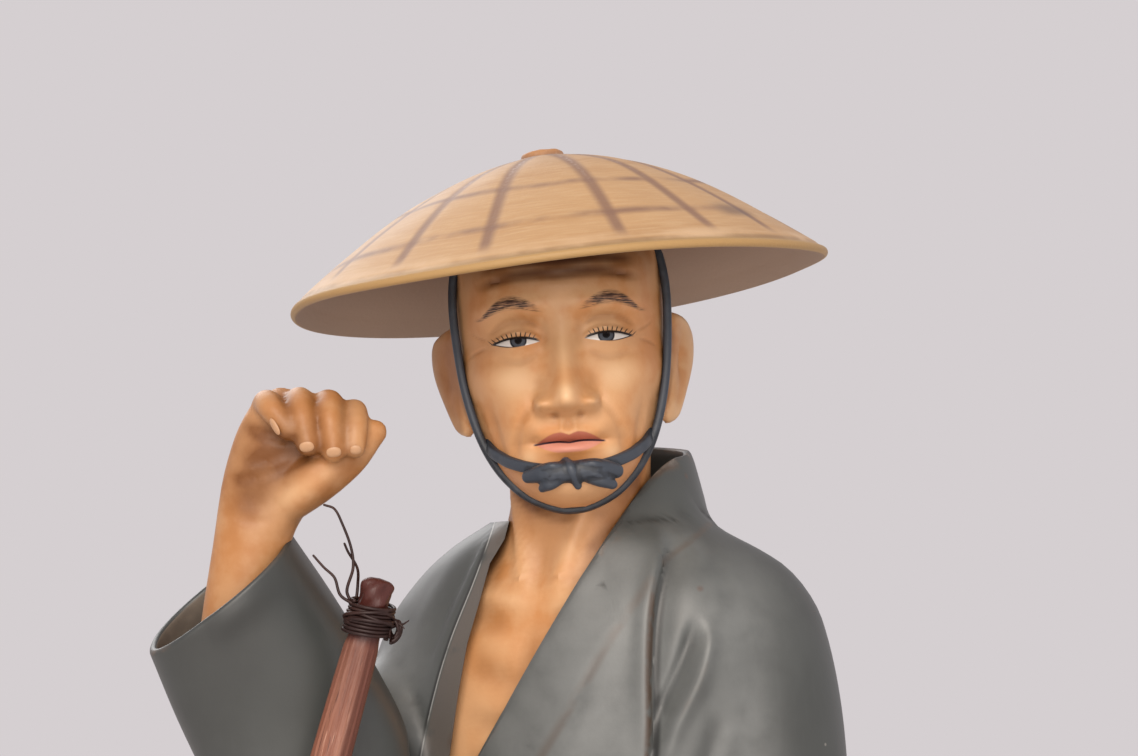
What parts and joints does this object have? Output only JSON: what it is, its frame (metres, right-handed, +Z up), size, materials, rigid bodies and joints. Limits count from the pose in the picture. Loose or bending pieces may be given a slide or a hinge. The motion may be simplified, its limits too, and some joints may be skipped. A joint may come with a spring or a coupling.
{
  "type": "hakata doll",
  "caption": "Painted fired-clay doll of a standing wayfarer with a raised fist, straw hat, dark robe and wooden staff, on a low plinth.",
  "frame": {"origin": "middle of the plinth's underside, on the surface it stands on", "axes": "+Z up, the figure faces -Y, +X to the figure's left"},
  "size_m": [0.164, 0.108, 0.3237],
  "materials": {
    "painted_clay": "satin",
    "painted_hat": "satin",
    "peeled_wood": "satin",
    "dark_wire": "rough",
    "plinth_wood": "satin"
  },
  "bodies": {
    "root": {"figure": "painted_clay", "hat": "painted_hat", "staff": "peeled_wood", "wire_binding": "dark_wire", "plinth": "plinth_wood"}
  },
  "joints": []
}
